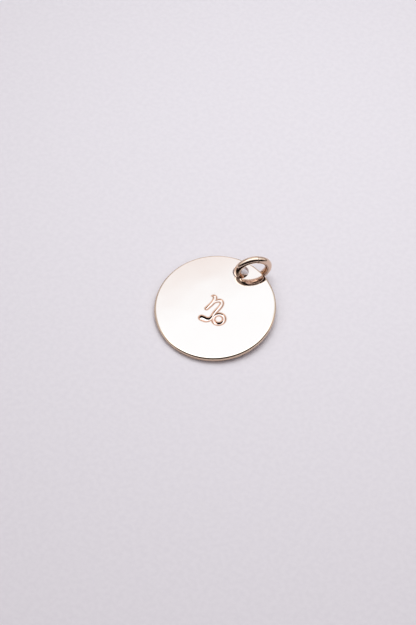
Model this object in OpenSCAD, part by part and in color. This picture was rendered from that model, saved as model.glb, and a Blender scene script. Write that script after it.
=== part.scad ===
// Zodiac charm: a polished round blank stamped with the sign of Capricorn, on one jump ring.
// It lies as a loose charm does. The ring stands through the hole and props up one side of the blank.

/* [Blank] */
// Diameter of the blank
disc_d = 16; // [14:0.5:18]
// Thickness of the blank
disc_t = 0.8; // [0.7:0.05:1]
// Radius rolled onto the rim, on both faces
rim_round = 0.3; // [0.05:0.05:0.3]

/* [Hole] */
// Diameter of the drilled hole
hole_d = 2.1; // [2:0.05:2.4]
// Metal left between the hole and the rim
hole_margin = 0.7; // [0.6:0.05:1.5]
// Chamfer that breaks the hole's two edges
hole_break = 0.04; // [0.02:0.02:0.12]

/* [Jump ring] */
// Diameter of the wire
wire_d = 0.95; // [0.8:0.05:1]
// Outer diameter of the ring
ring_d = 5.1; // [5:0.1:5.4]
// Gap between the two butted ends
ring_seam = 0.04; // [0.02:0.02:0.2]
// Where the seam is, up from the side that points outwards
seam_at = 70; // [0:5:180]
// Ring's centre, to the right of the blank's centre
ring_across = 1.38; // [1.2:0.02:1.6]
// Ring's centre, from the blank's centre towards the hole
ring_along = 7.14; // [6.9:0.02:7.2]
// Ring's centre, above the blank's face
ring_above = 0.62; // [0.4:0.02:0.8]
// Turn of the ring's plane, from straight across the blank
ring_turn = 45; // [30:0.5:60]

/* [Sign] */
// Depth of the stamped sign
sign_depth = 0.2; // [0.05:0.05:0.4]
// Size of the sign against the one drawn below
sign_scale = 1; // [0.8:0.1:1.3]
// Turn of the sign from square with the hole, as a hand-held punch leaves it
sign_turn = 1.2; // [-3:0.2:3]

/* [Hidden] */
$fn = 96;

disc_r = disc_d/2;
hole_r = hole_d/2;
hole_along = disc_r - hole_margin - hole_r;
wire_r = wire_d/2;
ring_r = ring_d/2 - wire_r;
seam_angle = ring_seam/ring_r*180/PI;
through = 1; // how far a cutter runs past a face

// The sign is two brush strokes and a loop. A row is a place on a stroke's middle line and its width.
ACROSS = 0;
UP = 1;
WIDE = 2;
hook_and_stem = [
    // ACROSS, UP, WIDE
    [-1.17, 1.14, 0.14],
    [-0.96, 1.24, 0.36],
    [-0.69, 1.12, 0.52],
    [-0.53, 0.76, 0.56],
    [-0.53, 0.20, 0.53],
    [-0.68, -0.50, 0.51],
    [-0.77, -0.86, 0.50]
];
arch_and_tail = [
    // ACROSS, UP, WIDE
    [-0.45, 0.30, 0.30],
    [-0.23, 0.74, 0.45],
    [0.14, 1.03, 0.53],
    [0.52, 0.86, 0.52],
    [0.66, 0.42, 0.52],
    [0.61, -0.20, 0.54],
    [0.51, -0.90, 0.52],
    [0.53, -1.50, 0.50],
    [0.45, -2.00, 0.58],
    [0.12, -2.31, 0.76],
    [-0.30, -2.37, 0.84],
    [-0.60, -2.39, 0.82]
];
loop_at = [1.46, -1.45];
loop_out_r = 0.985;
loop_in_r = 0.45;
stroke_steps = 4; // steps along a stroke from one row to the next
cap_step = 20; // degrees from one point of a stroke's round end to the next

// A smooth line through four rows, a share t of the way from the second to the third, and its direction.
function blend(a, b, c, d, t) =
    0.5*(2*b + (c - a)*t + (2*a - 5*b + 4*c - d)*t*t + (3*b - a - 3*c + d)*t*t*t);
function slope(a, b, c, d, t) =
    0.5*((c - a) + 2*(2*a - 5*b + 4*c - d)*t + 3*(3*b - a - 3*c + d)*t*t);

// The rows of a stroke, carried on in a straight line past its ends.
function row(k, i) =
    i < 0 ? 2*k[0] - k[1] : i >= len(k) ? 2*k[len(k) - 1] - k[len(k) - 2] : k[i];
function rows_about(k, u) =
    let (i = min(floor(u), len(k) - 2)) [row(k, i - 1), row(k, i), row(k, i + 1), row(k, i + 2), u - i];

// A point at half the stroke's width from its middle line, turned from the way the stroke runs.
function beside(k, u, turn) =
    let (
        r = rows_about(k, u),
        p = blend(r[0], r[1], r[2], r[3], r[4]),
        s = slope(r[0], r[1], r[2], r[3], r[4]),
        way = atan2(s[UP], s[ACROSS]) + turn
    )
    [p[ACROSS], p[UP]] + p[WIDE]/2*[cos(way), sin(way)];

// The outline of a stroke: one side, the round end, the other side and the round start.
function stroke(k) =
    let (last = len(k) - 1, n = last*stroke_steps)
    concat(
        [for (s = [0:n]) beside(k, s/stroke_steps, 90)],
        [for (a = [cap_step:cap_step:180 - cap_step]) beside(k, last, 90 - a)],
        [for (s = [n:-1:0]) beside(k, s/stroke_steps, -90)],
        [for (a = [cap_step:cap_step:180 - cap_step]) beside(k, 0, -90 - a)]
    );

// How the charm lies. It rests on the ring and on the far side of the rim, in line with its middle,
// so the blank rises towards the ring. The ring and each face's rim are hoops: a centre, an axis,
// the radius of the hoop and the radius of its stock.
ring_at = [ring_across, ring_along, disc_t + ring_above];
uphill = atan2(ring_along, ring_across);
ring_out = norm([ring_across, ring_along]);
rim_r = disc_r - rim_round;

function settle(t, passes) =
    passes == 0 ? t : settle(
        asin(
            (ring_r*sqrt(1 - pow(sin(t)*sin(uphill - ring_turn), 2)) + wire_r - rim_round
                - (ring_at.z - rim_round)*cos(t)) / (rim_r + ring_out)
        ),
        passes - 1
    );
tilt = settle(0, 5);
tilt_axis = [sin(uphill), -cos(uphill), 0];
function tilted(v) =
    v*cos(tilt) + cross(tilt_axis, v)*sin(tilt) + tilt_axis*(tilt_axis*v)*(1 - cos(tilt));

hoops = [
    [[0, 0, rim_round], [0, 0, 1], rim_r, rim_round],
    [[0, 0, disc_t - rim_round], [0, 0, 1], rim_r, rim_round],
    [ring_at, [sin(ring_turn), -cos(ring_turn), 0], ring_r, wire_r]
];
function reach(way) =
    max([for (h = hoops) tilted(h[0])*way + h[2]*sqrt(1 - pow(tilted(h[1])*way, 2)) + h[3]]);
rest_at = [
    (reach([-1, 0, 0]) - reach([1, 0, 0]))/2,
    (reach([0, -1, 0]) - reach([0, 1, 0]))/2,
    reach([0, 0, -1])
];

// Lays what is drawn flat, with the blank's back at height 0, down on the ground.
module laid() {
    translate(rest_at) rotate(a = tilt, v = tilt_axis) children();
}

// Half of the blank's section, with its rolled rim
module blank_section() {
    square([rim_r, disc_t]);
    translate([0, rim_round]) square([disc_r, disc_t - 2*rim_round]);
    for (y = [rim_round, disc_t - rim_round]) translate([rim_r, y]) circle(rim_round);
}

module hole() {
    translate([0, hole_along, -through]) cylinder(r = hole_r, h = disc_t + 2*through);
    translate([0, hole_along, disc_t - hole_break])
        cylinder(r1 = hole_r, r2 = hole_r + hole_break + through, h = hole_break + through);
    translate([0, hole_along, -through])
        cylinder(r1 = hole_r + hole_break + through, r2 = hole_r, h = hole_break + through);
}

module capricorn_sign() {
    rotate(sign_turn) scale(sign_scale) {
        polygon(stroke(hook_and_stem));
        polygon(stroke(arch_and_tail));
        translate(loop_at) difference() {
            circle(loop_out_r);
            circle(loop_in_r);
        }
    }
}

module disc() {
    color([0.93, 0.83, 0.78]) laid() difference() {
        rotate_extrude() blank_section();
        hole();
        translate([0, 0, disc_t - sign_depth])
            linear_extrude(sign_depth + through) capricorn_sign();
    }
}

module jump_ring() {
    color([0.86, 0.76, 0.70]) laid() translate(ring_at)
        rotate([90, 0, ring_turn]) rotate([0, 0, seam_at + seam_angle/2])
            rotate_extrude(angle = 360 - seam_angle) translate([ring_r, 0]) circle(wire_r);
}

disc();
jump_ring();
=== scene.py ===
# %% [markdown]
# # A stamped zodiac charm
# The charm is two pieces of rose gold plated metal: a round blank with the sign of Capricorn
# stamped into it, and one jump ring through its hole. Polished metal has hardly a colour of its
# own. What is seen is the room around it, so the exact form of each edge matters as much as the
# material does. The frame below holds the two pieces at their real size, and every finer mesh
# made here is measured from it.

# %% Load the frame
import math

import bmesh
import bpy
import numpy as np
from mathutils import Matrix, Vector
from mathutils.geometry import delaunay_2d_cdt


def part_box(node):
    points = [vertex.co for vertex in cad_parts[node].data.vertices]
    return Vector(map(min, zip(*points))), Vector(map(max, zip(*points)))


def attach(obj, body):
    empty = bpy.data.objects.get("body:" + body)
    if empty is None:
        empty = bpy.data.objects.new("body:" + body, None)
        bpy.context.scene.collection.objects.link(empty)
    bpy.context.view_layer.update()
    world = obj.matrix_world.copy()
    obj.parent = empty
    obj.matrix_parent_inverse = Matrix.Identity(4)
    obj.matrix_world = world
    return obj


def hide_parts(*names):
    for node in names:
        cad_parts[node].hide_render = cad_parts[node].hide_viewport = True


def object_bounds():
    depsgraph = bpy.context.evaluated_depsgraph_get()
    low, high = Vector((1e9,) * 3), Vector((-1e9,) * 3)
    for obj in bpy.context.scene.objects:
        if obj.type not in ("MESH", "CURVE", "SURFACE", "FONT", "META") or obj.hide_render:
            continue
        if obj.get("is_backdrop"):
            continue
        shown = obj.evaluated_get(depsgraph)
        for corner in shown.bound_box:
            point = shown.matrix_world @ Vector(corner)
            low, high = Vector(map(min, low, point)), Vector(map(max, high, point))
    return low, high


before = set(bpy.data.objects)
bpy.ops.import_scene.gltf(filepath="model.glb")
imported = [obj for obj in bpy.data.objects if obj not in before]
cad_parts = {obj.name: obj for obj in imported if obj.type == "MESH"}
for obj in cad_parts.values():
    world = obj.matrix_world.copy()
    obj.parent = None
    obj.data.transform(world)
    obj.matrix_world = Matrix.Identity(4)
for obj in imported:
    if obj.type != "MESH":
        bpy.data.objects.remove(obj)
cad_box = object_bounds()
print("nodes:", sorted(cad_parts))
print("box in mm:", [round(1000 * side, 2) for side in cad_box[1] - cad_box[0]])

# %% [markdown]
# A maker thinks in millimetres, so the shapes are drawn in millimetres, in the blank's own
# frame: its back at height 0, its hole straight up the page. One matrix then lays each shape
# down as the charm lies. The blank leans on the ring, and how much it leans is read from the
# frame: the big triangles of its face all point the same way.

# %% Sizes and the way the charm lies
MM = 0.001
blank_r = 8.0
blank_t = 0.8
rim_round = 0.3
hole_r = 1.05
hole_margin = 0.7
hole_break = 0.04
hole_at = np.array([0.0, blank_r - hole_margin - hole_r])
wire_r = 0.475
ring_r = 2.55 - wire_r
ring_turn = math.radians(45)
seam_at = math.radians(70)
seam_gap = 0.04


def face_direction(node):
    """The way the largest flat area of a node points, looked for upwards and then ever closer."""
    way = Vector((0, 0, 1))
    for reach in (15, 2, 0.5):
        near = [p for p in node.data.polygons if p.normal.angle(way, math.pi) < math.radians(reach)]
        way = sum((p.normal * p.area for p in near), Vector()).normalized()
    return way


def middle(name):
    """The middle of a node's box."""
    low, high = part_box(name)
    return (low + high) / 2


face_way = face_direction(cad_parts["disc"])
lean = Vector((0, 0, 1)).rotation_difference(face_way).to_matrix().to_4x4()
lay_blank = (
    Matrix.Translation(middle("disc"))
    @ lean
    @ Matrix.Translation((0, 0, -MM * blank_t / 2))
)
lay_ring = (
    Matrix.Translation(middle("jump_ring"))
    @ lean
    @ Matrix.Rotation(ring_turn, 4, "Z")
    @ Matrix.Rotation(math.radians(90), 4, "X")
)
print("the blank leans by", round(math.degrees(face_way.angle(Vector((0, 0, 1)))), 2), "degrees")

# %% [markdown]
# The sign is struck with a steel punch, so its lines are even brush strokes with round ends. A
# font would write it in another hand, so the strokes are drawn here: a stroke is a smooth line
# through a few places, and each place has a width. The same rows cut the sign in the solid part.
# For a mesh, the useful question is the other way round: how far is a point from the edge of the
# nearest stroke? One number answers it, below zero inside the sign.

# %% The strokes of the sign
hook_and_stem = [
    # across, up, width
    (-1.17, 1.14, 0.14),
    (-0.96, 1.24, 0.36),
    (-0.69, 1.12, 0.52),
    (-0.53, 0.76, 0.56),
    (-0.53, 0.20, 0.53),
    (-0.68, -0.50, 0.51),
    (-0.77, -0.86, 0.50),
]
arch_and_tail = [
    # across, up, width
    (-0.45, 0.30, 0.30),
    (-0.23, 0.74, 0.45),
    (0.14, 1.03, 0.53),
    (0.52, 0.86, 0.52),
    (0.66, 0.42, 0.52),
    (0.61, -0.20, 0.54),
    (0.51, -0.90, 0.52),
    (0.53, -1.50, 0.50),
    (0.45, -2.00, 0.58),
    (0.12, -2.31, 0.76),
    (-0.30, -2.37, 0.84),
    (-0.60, -2.39, 0.82),
]
loop_at = np.array([1.46, -1.45])
loop_out_r = 0.985
loop_in_r = 0.45
sign_turn = math.radians(1.2)
line_steps = 8


def smooth_line(rows):
    """Points on a smooth line through the rows, each with its width."""
    rows = np.array(rows, float)
    rows = np.vstack([2 * rows[0] - rows[1], rows, 2 * rows[-1] - rows[-2]])
    line = []
    for a, b, c, d in zip(rows, rows[1:], rows[2:], rows[3:]):
        for t in np.arange(line_steps) / line_steps:
            bend = (2 * a - 5 * b + 4 * c - d) * t**2 + (3 * b - a - 3 * c + d) * t**3
            line.append((2 * b + (c - a) * t + bend) / 2)
    return np.array(line + [rows[-2]])


strokes = [smooth_line(hook_and_stem), smooth_line(arch_and_tail)]
print("line points:", [len(line) for line in strokes])


# %% How far a point is from the sign
def outside_stroke(points, line):
    """How far each point is outside a stroke, in mm. Inside it the number is below zero."""
    nearest = np.full(len(points), np.inf)
    for start, end in zip(line, line[1:]):
        run = end[:2] - start[:2]
        share = np.clip((points - start[:2]) @ run / (run @ run), 0, 1)
        centre = start[:2] + share[:, None] * run
        half_width = (start[2] + share * (end[2] - start[2])) / 2
        nearest = np.minimum(nearest, np.linalg.norm(points - centre, axis=1) - half_width)
    return nearest


def outside_loop(points):
    """The same for the round loop of the sign, which is open in its middle."""
    out = np.linalg.norm(points - loop_at, axis=1)
    return np.maximum(out - loop_out_r, loop_in_r - out)


def turned(points, angle):
    """Points of the page turned about the blank's middle, anticlockwise."""
    cos, sin = math.cos(angle), math.sin(angle)
    return points @ np.array([[cos, sin], [-sin, cos]])


def outside_sign(points):
    """How far each point of the page is outside the whole sign, in mm."""
    points = turned(points, -sign_turn)
    gaps = [outside_stroke(points, line) for line in strokes]
    return np.minimum.reduce(gaps + [outside_loop(points)])


sign_below_hole = float(outside_sign(hole_at[None])[0])
print("from the hole's middle to the sign:", round(sign_below_hole, 2), "mm")

# %% [markdown]
# A punch is never held quite upright. This one bit deeper at the tail than at the hook, which is
# why the tail's far wall is a broad dark band while the walls of the arch are pale lines. Each
# wall slopes, with a soft shoulder at the top and a soft corner at the bottom, so it mirrors a
# little of everything. A smooth step gives both curves at once, and it starts a hair inside the
# drawn outline. An upright wall would be simpler, but seen from above it has no width at all.

# %% The depth of the stamp
depth_at_hook = 0.065
depth_at_tail = 0.265
run_at_hook = 0.150
run_at_tail = 0.315
hook_up = 1.3
tail_up = -2.6
inset = 0.03


def smooth_step(share):
    """Goes from 0 to 1 with the share, level at both ends."""
    share = np.clip(share, 0, 1)
    return share * share * (3 - 2 * share)


def stamped(points):
    """The height of the blank's face at each point, in mm, below zero inside the sign."""
    down_page = np.clip((hook_up - points[:, 1]) / (hook_up - tail_up), 0, 1) ** 2
    depth = depth_at_hook + (depth_at_tail - depth_at_hook) * down_page
    run = run_at_hook + (run_at_tail - run_at_hook) * down_page
    return -depth * smooth_step((-inset - outside_sign(points)) / run)


print("deepest:", round(float(stamped(turned(strokes[1][:, :2], sign_turn)).min()), 3), "mm")

# %% [markdown]
# On a mirror the eye finds any uneven triangle, so the face is not cut with booleans, which
# leave long thin slivers with bent shading. It is a flat sheet of points, joined by a Delaunay
# triangulation: packed closely where the walls of the sign bend, and far apart where the face
# is flat. The same routine makes the plain back. The rim and the hole are ringed by exact circles,
# so the round sides can be joined on without a gap.

# %% Points for a flat face
rim_steps = 256
hole_steps = 96
face_r = blank_r - rim_round
hole_mouth_r = hole_r + hole_break
triangles_inside = 1
same_place = 1e-7
print("one step round the rim:", round(2 * math.pi * face_r / rim_steps, 3), "mm")


def circle(radius, steps, centre=(0.0, 0.0)):
    """Evenly spaced points on a circle."""
    turn = np.arange(steps) * 2 * math.pi / steps
    return np.array(centre) + radius * np.stack([np.cos(turn), np.sin(turn)], 1)


def lattice(pitch, low, high):
    """A triangular lattice of points between two corners."""
    rows = np.arange(low[1], high[1], pitch * math.sqrt(0.75))
    found = []
    for index, y in enumerate(rows):
        x = np.arange(low[0] + pitch / 2 * (index % 2), high[0], pitch)
        found.append(np.stack([x, np.full(len(x), y)], 1))
    return np.vstack(found)


def clear_of_edges(points, room):
    """Only the points that keep some room to the rim and to the hole."""
    to_rim = face_r - np.linalg.norm(points, axis=1)
    to_hole = np.linalg.norm(points - hole_at, axis=1) - hole_mouth_r
    return points[(to_rim > room) & (to_hole > room)]


def flat_sheet(inner_points):
    """The corners and triangles of a round sheet with the hole left open."""
    rings = [circle(face_r, rim_steps), circle(hole_mouth_r, hole_steps, hole_at)]
    places = [Vector(c) for c in np.vstack(rings + [inner_points]).tolist()]
    rim_loop = list(range(rim_steps))
    hole_edges = [(rim_steps + i, rim_steps + (i + 1) % hole_steps) for i in range(hole_steps)]
    made = delaunay_2d_cdt(places, hole_edges, [rim_loop], triangles_inside, same_place)
    corners = np.array([tuple(c) for c in made[0]])
    triangles = np.array(made[2])
    to_hole = np.linalg.norm(corners[triangles].mean(1) - hole_at, axis=1)
    return corners, triangles[to_hole > hole_mouth_r * math.cos(math.pi / hole_steps)]


# %% The face and the back
page = ((-blank_r, -blank_r), (blank_r, blank_r))
sign_page = ((-2.4, -4.0), (3.4, 2.6))
plain_spacing = 0.8
far_off = 20.0
zones = [
    # spacing, then the least and the greatest distance outside the sign's edge
    (0.022, -0.28, 0.05),
    (0.07, -0.60, 0.20),
    (0.25, -0.60, 0.80),
    (plain_spacing, 0.50, far_off),
]
support = 0.04


def face_points():
    """The points of all zones, each zone without what the finer one before it has filled."""
    found, filled = [], None
    for spacing, least, most in zones:
        low, high = page if most == far_off else sign_page
        points = clear_of_edges(lattice(spacing, low, high), spacing / 2)
        gap = outside_sign(points)
        wanted = (gap > least) & (gap < most)
        if filled is not None:
            wanted &= (gap < filled[0]) | (gap > filled[1])
        found.append(points[wanted])
        filled = (least, most)
    return np.vstack(found)


supports = [
    circle(face_r - support, rim_steps),
    circle(hole_mouth_r + support, hole_steps, hole_at),
]
plain_points = clear_of_edges(lattice(plain_spacing, *page), plain_spacing / 2)
face_xy, face_triangles = flat_sheet(np.vstack(supports + [face_points()]))
back_xy, back_triangles = flat_sheet(np.vstack(supports + [plain_points]))
print("triangles: face", len(face_triangles), "and back", len(back_triangles))

# %% [markdown]
# The rim is rolled: a quarter round, a short upright band, and a quarter round below. The hole
# has the same section at a smaller size, turned inwards. A bevel would round them too, but it
# chooses its own corners. One helper walks round a section and joins each circle of points to the
# next, which is what a lathe does.

# %% Round sides
rim_levels = 8
hole_levels = 5


def quarter_steps(count):
    """Evenly spaced angles from 0 to a quarter turn."""
    return np.linspace(0, math.pi / 2, count + 1)


def side_section(radius, rounding, levels, outwards):
    """How far out and how high each point of a side is, from the face down to the back."""
    top = [
        (radius + outwards * rounding * math.sin(a), blank_t - rounding + rounding * math.cos(a))
        for a in quarter_steps(levels)
    ]
    bottom = [(out, blank_t - high) for out, high in reversed(top)]
    return top + bottom


def bands(levels, steps):
    """Four-sided faces that join each circle of corners to the next."""
    found = []
    for here in range(0, (levels - 1) * steps, steps):
        ahead = here + steps
        for i in range(steps):
            j = (i + 1) % steps
            found.append([here + i, ahead + i, ahead + j, here + j])
    return found


def lathe(section, steps, centre=(0.0, 0.0)):
    """Corners and four-sided faces of a section turned about an upright axis."""
    circles = []
    for out, high in section:
        circles.append(np.column_stack([circle(out, steps, centre), np.full(steps, high)]))
    return np.vstack(circles), bands(len(section), steps)


rim_side = lathe(side_section(face_r, rim_round, rim_levels, 1), rim_steps)
hole_section = side_section(hole_mouth_r, hole_break, hole_levels, -1)
hole_corners, hole_faces = lathe(hole_section, hole_steps, hole_at)
hole_side = (hole_corners, [face[::-1] for face in hole_faces])
print("four-sided faces: rim", len(rim_side[1]), "and hole", len(hole_side[1]))

# %% [markdown]
# Smooth shading guesses a normal at each corner from the triangles round it, and beside a flat
# face the guess is wrong enough to see in a mirror. The true normals are known here, because
# every surface has a formula: the slope of the stamp, the quarter rounds, the walls. They are
# worked out from each corner's place and handed to the mesh.

# %% True normals
slope_step = 0.004
edge_reach = 1e-3


def unit(ways):
    """The same directions, each made one long."""
    return ways / np.linalg.norm(ways, axis=1)[:, None]


def slope_normals(points):
    """Normals of the stamped face, from how its height changes over a tiny step."""
    across = stamped(points + (slope_step, 0)) - stamped(points - (slope_step, 0))
    up_page = stamped(points + (0, slope_step)) - stamped(points - (0, slope_step))
    return unit(np.column_stack([-across, -up_page, np.full(len(points), 2 * slope_step)]))


def rounded_normals(corners, centre, radius, rounding, outwards):
    """Normals of a turned side with a quarter round at its top and bottom."""
    away = corners[:, :2] - centre
    out = np.abs(np.linalg.norm(away, axis=1) - radius) / rounding
    up = np.where(corners[:, 2] > blank_t / 2, 1.0, -1.0) * np.sqrt(np.clip(1 - out**2, 0, 1))
    return unit(np.column_stack([unit(away) * (out * outwards)[:, None], up]))


def blank_normals(corners):
    """The true normal at each corner of the blank, whether on face, back, rim or hole."""
    flat = corners[:, :2]
    normals = np.tile((0.0, 0.0, -1.0), (len(corners), 1))
    on_face = corners[:, 2] > blank_t / 2
    normals[on_face] = slope_normals(flat[on_face])
    on_rim = np.linalg.norm(flat, axis=1) > face_r - edge_reach
    normals[on_rim] = rounded_normals(corners[on_rim], (0, 0), face_r, rim_round, 1)
    in_hole = np.linalg.norm(flat - hole_at, axis=1) < hole_mouth_r + edge_reach
    normals[in_hole] = rounded_normals(corners[in_hole], hole_at, hole_mouth_r, hole_break, -1)
    return normals


steepest = math.degrees(math.acos(slope_normals(face_xy)[:, 2].min()))
print("steepest wall of the sign:", round(steepest, 1), "degrees")

# %% [markdown]
# The blank is one piece of metal, so its mesh is one closed skin. Four meshes that only touch
# would do for a dull thing, but a mirror shows the seam between them. The four parts have the
# same circles of corners where they meet, so those corners can be welded, and a closed skin also
# tells which way is out.

# %% Close a skin and lay it down
weld_reach = 1e-4


def joined(parts):
    """All corners and all faces of several parts, still unwelded."""
    corners, faces = [], []
    for part_corners, part_faces in parts:
        start = sum(len(c) for c in corners)
        corners.append(part_corners)
        faces += [[start + i for i in face] for face in part_faces]
    return np.vstack(corners), faces


def weld(corners, faces):
    """Joins corners that lie on each other and turns the faces outwards."""
    body = bmesh.new()
    made = [body.verts.new(c) for c in corners.tolist()]
    for face in faces:
        body.faces.new([made[i] for i in face])
    bmesh.ops.remove_doubles(body, verts=body.verts, dist=weld_reach)
    bmesh.ops.recalc_face_normals(body, faces=body.faces)
    body.verts.index_update()
    open_edges = sum(len(edge.link_faces) != 2 for edge in body.edges)
    corners = np.array([tuple(v.co) for v in body.verts])
    faces = [[v.index for v in face.verts] for face in body.faces]
    body.free()
    print("welded:", len(corners), "corners,", len(faces), "faces,", open_edges, "open edges")
    return corners, faces


def place_mesh(name, corners, faces, normals, lay):
    """A smooth mesh object from corners in mm, laid down in the frame, with its true normals."""
    mesh = bpy.data.meshes.new(name)
    mesh.from_pydata((corners * MM).tolist(), [], faces)
    mesh.transform(lay)
    mesh.shade_smooth()
    laid_normals = normals @ np.array(lay.to_3x3()).T
    mesh.normals_split_custom_set_from_vertices(laid_normals.tolist())
    mesh.update()
    piece = bpy.data.objects.new(name, mesh)
    bpy.context.scene.collection.objects.link(piece)
    return piece


# %% Put the blank together
face_side = (np.column_stack([face_xy, blank_t + stamped(face_xy)]), face_triangles.tolist())
back_side = (np.column_stack([back_xy, np.zeros(len(back_xy))]), back_triangles[:, ::-1].tolist())
blank_corners, blank_faces = weld(*joined([face_side, back_side, rim_side, hole_side]))
true_normals = blank_normals(blank_corners)
blank = place_mesh("stamped_blank", blank_corners, blank_faces, true_normals, lay_blank)
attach(blank, "root")
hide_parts("disc")

# %% [markdown]
# The jump ring is round wire wound on a rod, cut through and pressed shut. The two cut ends
# never meet perfectly: there is a hair of a gap, the ends are a little rounded, and one stands
# slightly to the side of the other. A plain torus has none of this, so the ring is a tube swept
# round most of a circle and closed at both ends. Its skin is made of stations: circles of corners
# that follow the wire.

# %% The jump ring
along_steps = 240
around_steps = 48
end_round = 0.05
end_steps = 5
slip_out = -0.02
slip_aside = 0.03
slip_reach = math.radians(35)


def wire_stations():
    """Rows of an angle round the ring, a radius, and how far the skin faces along the ring."""
    first = seam_at + seam_gap / 2 / ring_r
    turn = quarter_steps(end_steps)
    into_wire = first + end_round / ring_r * (1 - np.cos(turn))
    start = np.column_stack([into_wire, wire_r - end_round * (1 - np.sin(turn)), -np.cos(turn)])
    end = start[::-1] * (-1, 1, -1) + (2 * (seam_at + math.pi), 0, 0)
    angles = np.linspace(start[-1, 0], end[0, 0], along_steps + 1)[1:-1]
    body = np.column_stack([angles, np.full(len(angles), wire_r), np.zeros(len(angles))])
    return np.vstack([start, body, end])


def sweep_wire(stations):
    """Corners and normals of the wire, and where each corner is on the straight drawn wire."""
    turn = np.arange(around_steps) * 2 * math.pi / around_steps
    cos, sin = np.cos(turn), np.sin(turn)
    corners, normals, drawn = [], [], []
    for angle, radius, endwards in stations:
        out_way = np.array([math.cos(angle), math.sin(angle), 0])
        along_way = np.array([-math.sin(angle), math.cos(angle), 0])
        round_way = cos[:, None] * out_way + sin[:, None] * (0, 0, 1)
        slip = smooth_step(1 - (stations[-1, 0] - angle) / slip_reach)
        centre = (ring_r + slip_out * slip) * out_way + (0, 0, slip_aside * slip)
        corners.append(centre + radius * round_way)
        normals.append(endwards * along_way + math.sqrt(1 - endwards**2) * round_way)
        drawn.append(np.column_stack([cos, sin, np.full(around_steps, angle * ring_r)]))
    return np.vstack(corners), np.vstack(normals), np.vstack(drawn)


def tube_faces(count):
    """The faces between the stations, and a flat cap at each end."""
    last = (count - 1) * around_steps
    caps = [list(range(first, first + around_steps)) for first in (0, last)]
    return bands(count, around_steps) + caps


stations = wire_stations()
ring_corners, ring_normals, drawn = sweep_wire(stations)
ring_corners, ring_faces = weld(ring_corners, tube_faces(len(stations)))
ring = place_mesh("closed_jump_ring", ring_corners, ring_faces, ring_normals, lay_ring)
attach(ring, "root")
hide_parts("jump_ring")

# %% [markdown]
# A finish varies with the place: the plate is a little redder in the sign, and a drawn wire has
# faint lines along it. Along the walls of the sign and at the rim the colour is painted darker:
# painted shade for the dark that these walls and the rolled rim mirror. A mask could be painted
# for that, but the meshes know these places exactly. So each corner is given a number or a
# direction, and the finish reads it by name.

# %% Notes for the finishes
sign_fade = 0.1
wall_shade_middle = -0.04
wall_shade_reach = 0.10
rim_shade_fade = 0.15


def note(piece, name, values):
    """Stores a number or a direction at each corner of a piece."""
    values = np.asarray(values, np.float32)
    kind, field = ("FLOAT", "value") if values.ndim == 1 else ("FLOAT_VECTOR", "vector")
    attribute = piece.data.attributes.new(name, kind, "POINT")
    attribute.data.foreach_set(field, values.ravel())


on_face = blank_corners[:, 2] > blank_t / 2
sign_gap = outside_sign(blank_corners[:, :2])
from_middle = np.linalg.norm(blank_corners[:, :2], axis=1)
in_sign = on_face * smooth_step(-sign_gap / sign_fade)
# painted shade: a dark copper band along the walls of the sign
wall_shade_share = on_face * np.exp(-(((sign_gap - wall_shade_middle) / wall_shade_reach) ** 2))
# painted shade: the rolled rim is made darker and more copper than the face
on_rim = smooth_step((from_middle - face_r) / rim_shade_fade)
note(blank, "in_sign", in_sign)
note(blank, "wall_shade_share", wall_shade_share)
note(blank, "on_rim", on_rim)
note(ring, "drawn", drawn)
print("corners in the sign:", int((in_sign > 0.5).sum()))

# %% [markdown]
# Blender's materials are graphs of nodes, and graphs are hard to read in a script. So one small
# class wraps a socket: adding or multiplying two wires adds the node that does it. Every other
# node comes from one method, which takes the node's type, its settings and its sockets.

# %% A short way to write node graphs
class Recipe:
    """The node graph of a finish or of the light round the charm."""

    def __init__(self, owner):
        owner.use_nodes = True
        self.tree = owner.node_tree
        self.tree.nodes.clear()

    def node(self, kind, settings=None, sockets=None, out=0):
        """Adds a node with its settings first, then the values or wires of its sockets."""
        made = self.tree.nodes.new("ShaderNode" + kind)
        for name, value in (settings or {}).items():
            setattr(made, name, value)
        for name, value in (sockets or {}).items():
            if isinstance(value, Wire):
                self.tree.links.new(value.socket, made.inputs[name])
            else:
                made.inputs[name].default_value = value
        return Wire(self, made.outputs[out]) if len(made.outputs) else None

    def mix(self, share, first, second):
        """A colour that goes from the first to the second as the share goes from 0 to 1."""
        return self.node("Mix", {"data_type": "RGBA"}, {0: share, 6: first, 7: second}, out=2)

    def largest(self, first, *others):
        """The largest of several numbers."""
        for other in others:
            first = self.node("Math", {"operation": "MAXIMUM"}, {0: first, 1: other})
        return first

    def step(self, value, start, end, low=0.0, high=1.0):
        """Goes smoothly from low to high while the value goes from start to end."""
        sockets = {"Value": value, "From Min": start, "From Max": end, "To Min": low, "To Max": high}
        return self.node("MapRange", {"interpolation_type": "SMOOTHSTEP"}, sockets)

    def between(self, value, low_end, low_start, high_start, high_end):
        """Is 1 in a middle range of the value and fades to 0 on both sides of it."""
        return self.step(value, low_end, low_start) * (1 - self.step(value, high_start, high_end))


class Wire:
    """A socket of a graph. Sums, differences and products of wires add their own nodes."""

    def __init__(self, recipe, socket):
        self.recipe = recipe
        self.socket = socket

    def work(self, operation, first, second):
        """Adds the maths node for numbers, or the one for colours and directions."""
        if self.socket.type == "VALUE":
            return self.recipe.node("Math", {"operation": operation}, {0: first, 1: second})
        return self.recipe.node("VectorMath", {"operation": operation}, {0: first, 1: second})

    def __add__(self, other):
        return self.work("ADD", self, other)

    def __radd__(self, other):
        return self.work("ADD", other, self)

    def __sub__(self, other):
        return self.work("SUBTRACT", self, other)

    def __rsub__(self, other):
        return self.work("SUBTRACT", other, self)

    def __mul__(self, other):
        return self.work("MULTIPLY", self, other)

    def __rmul__(self, other):
        return self.work("MULTIPLY", other, self)


# %% [markdown]
# Polished plate has no grain of its own. What tells it from a computer's mirror is wear: a slow
# waviness left by the buffing wheel, faint hairlines where it has rubbed on other jewellery, and
# a film of handling that dulls it in patches. All three are noise at their own scale, in mm.

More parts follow.
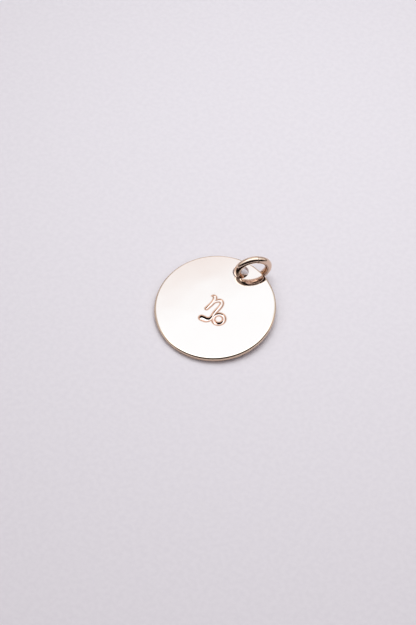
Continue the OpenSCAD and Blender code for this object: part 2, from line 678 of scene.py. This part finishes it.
# %% Rose gold
PER_MM = (1000, 1000, 1000)
plate = (0.940, 0.820, 0.760, 1)
plate_in_sign = (0.940, 0.785, 0.715, 1)
# painted shade for the walls of the sign
painted_wall_shade = (0.520, 0.250, 0.145, 1)
# painted shade for the rolled rim
painted_rim_shade = (0.685, 0.520, 0.395, 1)
wire_plate = (0.720, 0.535, 0.415, 1)
hairline_stretch = (0.4, 9.0, 1.0)
hairline_depth = 0.02
drawn_stretch = (6.0, 6.0, 0.35)
drawn_depth = 0.3


def noise(recipe, where, scale, detail):
    """Soft patches of lighter and darker. A larger scale makes them smaller."""
    return recipe.node("TexNoise", None, {"Vector": where, "Scale": scale, "Detail": detail})


def noted(recipe, name, out="Fac"):
    """What a mesh has noted under a name."""
    return recipe.node("Attribute", {"attribute_name": name}, out=out)


def finish_metal(recipe, colour, roughness, height, relief):
    """Ends a recipe for polished metal. The relief is how high its bumps are, in metres."""
    bump = recipe.node("Bump", None, {"Strength": 1.0, "Distance": relief, "Height": height})
    sockets = {"Base Color": colour, "Metallic": 1.0, "Roughness": roughness, "Normal": bump}
    surface = recipe.node("BsdfPrincipled", None, sockets)
    recipe.node("OutputMaterial", None, {"Surface": surface})


def blank_finish():
    """Plate with a film of handling, slow waves and hairlines, a little redder in the sign, and
    painted darker along the sign's walls and at the rim as painted shade.
    """
    material = bpy.data.materials.new("disc_metal")
    recipe = Recipe(material)
    place = recipe.node("TexCoord", out="Object") * PER_MM
    film = noise(recipe, place, scale=0.35, detail=3.0)
    waves = noise(recipe, place, scale=0.22, detail=1.0)
    hairlines = noise(recipe, place * hairline_stretch, scale=1.3, detail=3.0)
    colour = recipe.mix(noted(recipe, "in_sign"), plate, plate_in_sign)
    # painted shade along the walls of the sign
    colour = recipe.mix(noted(recipe, "wall_shade_share"), colour, painted_wall_shade)
    # painted shade at the rim
    colour = recipe.mix(noted(recipe, "on_rim"), colour, painted_rim_shade)
    roughness = recipe.step(film, 0.35, 0.75, low=0.045, high=0.085)
    finish_metal(recipe, colour, roughness, waves + hairlines * hairline_depth, relief=1.2e-5)
    return material


def ring_finish():
    """The wire's plate, with faint lines from drawing it and slow knocks from bending it."""
    material = bpy.data.materials.new("ring_metal")
    recipe = Recipe(material)
    place = recipe.node("TexCoord", out="Object") * PER_MM
    on_wire = noted(recipe, "drawn", "Vector") * drawn_stretch
    lines = noise(recipe, on_wire, scale=1.0, detail=3.0)
    knocks = noise(recipe, place, scale=1.1, detail=1.0)
    roughness = recipe.step(lines, 0.35, 0.75, low=0.03, high=0.07)
    finish_metal(recipe, wire_plate, roughness, lines * drawn_depth + knocks, relief=6e-6)
    return material


def dress(piece, material):
    """Gives a piece one finish."""
    piece.data.materials.clear()
    piece.data.materials.append(material)


dress(blank, blank_finish())
dress(ring, ring_finish())
print("finishes:", blank.active_material.name, "and", ring.active_material.name)

# %% [markdown]
# The charm lies on pale card with a touch of lavender. Card is not a flat colour: its fibres give
# it a fine grain, which a picture of paper could give as well. Noise does it without a file and
# never repeats. The card is a plane at height 0 that reaches past the edges of the picture.

# %% The card
card_reach = 0.5
card_pale = (0.802, 0.774, 0.822, 1)
card_dark = (0.772, 0.744, 0.794, 1)


def card_finish():
    """Two tones of card and a soft relief, both from the fibres."""
    material = bpy.data.materials.new("pale_card")
    recipe = Recipe(material)
    place = recipe.node("TexCoord", out="Object") * PER_MM
    fibres = noise(recipe, place, scale=1.6, detail=4.0)
    colour = recipe.mix(recipe.step(fibres, 0.3, 0.7), card_dark, card_pale)
    bump = recipe.node("Bump", None, {"Strength": 0.3, "Distance": 5e-5, "Height": fibres})
    sockets = {"Base Color": colour, "Roughness": 0.9, "Normal": bump}
    surface = recipe.node("BsdfPrincipled", None, sockets)
    recipe.node("OutputMaterial", None, {"Surface": surface})
    return material


card_mesh = bpy.data.meshes.new("card")
card_ends = (-card_reach, card_reach)
card_mesh.from_pydata([(x, y, 0) for x in card_ends for y in card_ends], [], [(0, 2, 3, 1)])
card = bpy.data.objects.new("card", card_mesh)
bpy.context.scene.collection.objects.link(card)
dress(card, card_finish())
card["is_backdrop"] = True
print("the card is", 2 * card_reach, "m across")

# %% [markdown]
# The camera stands a forearm away and looks down on the charm. A long lens keeps the blank's
# ellipse true. The camera is moved a little aside rather than turned, so that the charm sits where
# the photograph has it and the verticals stay the same.

# %% The camera
azimuth = math.radians(33.2)
elevation = math.radians(55.5)
lens_mm = 100.0
film_mm = 36.0
away_m = 0.2273
photo_size = np.array([416, 625])
face_in_photo = np.array([215.0, 306.1])

to_camera = Vector((
    math.sin(azimuth) * math.cos(elevation),
    -math.cos(azimuth) * math.cos(elevation),
    math.sin(elevation),
))
camera_turn = to_camera.to_track_quat("Z", "Y").to_matrix()
right_way, up_way = camera_turn.col[0], camera_turn.col[1]
metres_per_pixel = away_m * film_mm / lens_mm / photo_size[1]
aside_right, aside_down = ((photo_size / 2 - face_in_photo) * metres_per_pixel).tolist()
face_centre = lay_blank @ Vector((0, 0, MM * blank_t))
camera_data = bpy.data.cameras.new("camera")
camera_data.sensor_fit = "VERTICAL"
camera_data.sensor_height = film_mm
camera_data.lens = lens_mm
camera_data.clip_start = 0.01
camera = bpy.data.objects.new("camera", camera_data)
camera_at = face_centre + away_m * to_camera + aside_right * right_way - aside_down * up_way
camera.matrix_world = Matrix.Translation(camera_at) @ camera_turn.to_4x4()
bpy.context.scene.collection.objects.link(camera)
bpy.context.scene.camera = camera
print("camera at", [round(c, 4) for c in camera_at], "m")

# %% [markdown]
# A mirror shows its room, so the light is first of all a room. A picture of a real room could be
# hung round the charm, or real lamps and boards set up. Here the room is drawn by numbers, so each
# of its edges can be put where the metal shows it. A long soft lamp hangs overhead and fades
# towards a pale wall behind the charm. The walls at the sides are nearly as pale, and the front is
# dark where the camera stands, which puts the black lines into the wire and the sign. A way of
# looking has three parts here: to the camera's side, to the camera's right, and upwards.

# %% The ways of looking round the room
camera_side = Vector((to_camera.x, to_camera.y, 0)).normalized()
camera_right = right_way.normalized()

world = bpy.data.worlds.new("soft_studio")
bpy.context.scene.world = world
sky = Recipe(world)
way = sky.node("TexCoord", out="Generated")


def along(direction):
    """How far the way that is looked in runs along a direction, from -1 to 1."""
    return sky.node("VectorMath", {"operation": "DOT_PRODUCT"}, {0: way, 1: direction}, out="Value")


frontwards = along(camera_side)
sideways = along(camera_right)
upwards = along((0, 0, 1))
print("the camera's side is", [round(c, 3) for c in camera_side])

# %% The lamp overhead
lamp_above = 2.2
lamp_behind = 1.03
warm_light = (0.915, 0.935, 0.960, 1)
cool_light = (1.030, 1.165, 1.256, 1)

lamp_shape = (
    # from well behind the charm to a little in front of it
    sky.between(frontwards, -0.80, -0.60, 0.17, 0.38)
    # its left end is cut on a slant
    * sky.step(sideways + 0.55 * frontwards, -0.88, -0.60)
    # its right end is cut straight
    * sky.step(sideways, 0.85, 0.55)
    # and nothing of it hangs low
    * sky.step(upwards, 0.15, 0.45)
)
lamp_glow = sky.step(frontwards, -0.42, -0.15, low=lamp_behind, high=lamp_above)
tint_edge = sky.step(frontwards + 0.32 * sideways, -0.531, -0.506)
lamp_light = sky.mix(tint_edge, warm_light, cool_light) * lamp_glow

# %% The walls
back_glow = 1.05
corner_glow = 0.66
left_glow = 0.88
right_glow = 0.95
front_glow = 0.28
dim_room = (0.006, 0.005, 0.005)

back_shape = sky.step(frontwards, -0.10, -0.50)
back_middle = sky.between(sideways, -0.50, -0.25, 0.15, 0.42)
back_wall = back_shape * sky.step(back_middle, 0, 1, low=corner_glow, high=back_glow)
left_wall = sky.step(sideways, -0.45, -0.80) * sky.step(frontwards, 0.42, 0.10) * left_glow
right_wall = sky.step(sideways, 0.50, 0.80) * sky.step(frontwards, 0.20, -0.02) * right_glow
front_shape = sky.step(frontwards, 0.70, 0.55)
front_wall = sky.between(sideways, -0.75, -0.50, 0.40, 0.70) * front_shape * front_glow
walls = sky.largest(back_wall, left_wall, right_wall, front_wall) * sky.step(upwards, -0.1, 0.35)

room = sky.mix(lamp_shape, walls, lamp_light) + dim_room
background = sky.node("Background", None, {"Color": room, "Strength": 1.0})
sky.node("OutputWorld", None, {"Surface": background})
print("nodes that draw the room:", len(sky.tree.nodes))

# %% [markdown]
# The room is seen only in the metal. Two soft lamps light the card, and no reflection shows them.
# The main one hangs a little behind the charm, so the shadow lies on the camera's side, soft but
# close to the rim. The broad one fills it from nearly everywhere. The drawn room could light the
# card too, but then no change to a reflection would leave the shadow as it is.


# %% The lamps over the card
def hang_lamp(name, to_front, to_right, away, width, watts, colour):
    """A round soft lamp aimed at the charm, hidden from the metal."""
    light = bpy.data.lights.new(name, "AREA")
    light.shape = "DISK"
    light.size = width
    light.energy = watts
    light.color = colour
    lamp_way = (to_front * camera_side + to_right * camera_right + Vector((0, 0, 1))).normalized()
    turn = lamp_way.to_track_quat("Z", "Y").to_matrix().to_4x4()
    hung = bpy.data.objects.new(name, light)
    hung.matrix_world = Matrix.Translation(away * lamp_way) @ turn
    hung.visible_glossy = False
    bpy.context.scene.collection.objects.link(hung)
    print(name, "hangs at", [round(c, 3) for c in away * lamp_way], "m")


hang_lamp(
    "main_lamp", to_front=-0.28, to_right=0.12, away=0.14,
    width=0.105, watts=0.092, colour=(1.0, 1.07, 1.07),
)
hang_lamp(
    "fill_lamp", to_front=-0.04, to_right=0.06, away=0.22,
    width=0.66, watts=0.880, colour=(1.0, 0.925, 0.935),
)
world.cycles_visibility.diffuse = False
bpy.context.scene.view_settings.view_transform = "Standard"

# %% [markdown]
# Last, the box of what was built is set against the box of the solid part, and how far they
# differ is printed. The two boxes should agree, because the meshes are the same pieces, only finer.

# %% Sizes and the end
visual_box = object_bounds()
apart = 1000 * (np.array(visual_box) - np.array(cad_box))
print("the two boxes differ by", np.round(apart, 3).tolist(), "mm")
